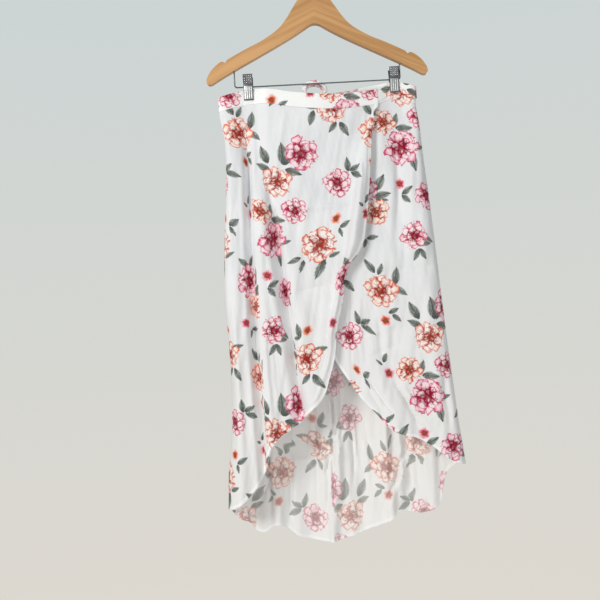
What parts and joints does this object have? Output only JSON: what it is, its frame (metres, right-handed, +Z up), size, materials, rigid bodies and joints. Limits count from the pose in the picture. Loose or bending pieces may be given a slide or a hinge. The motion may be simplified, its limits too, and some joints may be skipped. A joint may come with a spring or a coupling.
{
  "type": "wrap skirt on a wooden clip hanger",
  "caption": "High-low wrap skirt with a flared free edge, a waistband and a tied bow, held flat by the clips of a wooden hanger.",
  "frame": {"origin": "inside of the top of the hanger's hook, where a rail carries it", "axes": "+Z up along the hang of the skirt, -Y out of its front, +X to the right of someone looking at the front"},
  "size_m": [0.4872, 0.0899, 1.1912],
  "materials": {
    "cloth": "matt woven viscose, white with pink and coral flowers and grey-green leaves",
    "wood": "clear satin lacquer on honey-coloured wood",
    "chrome": "bright plated sheet and wire",
    "dark_steel": "dull plated wire"
  },
  "bodies": {
    "root": {"front_over": "cloth", "front_under": "cloth", "back": "cloth", "waistband_over": "cloth", "waistband_under": "cloth", "waistband_back": "cloth", "tie_right": "cloth", "tie_left": "cloth", "tie_knot": "cloth", "tie_loop": "cloth", "tie_tail_left": "cloth", "tie_tail_right": "cloth", "hanger_wood": "wood", "hanger_hook": "chrome", "hanger_bar": "dark_steel", "clip_left_front_jaw": "chrome", "clip_left_back_jaw": "chrome", "clip_left_barrel": "chrome", "clip_right_front_jaw": "chrome", "clip_right_back_jaw": "chrome", "clip_right_barrel": "chrome"}
  },
  "joints": []
}
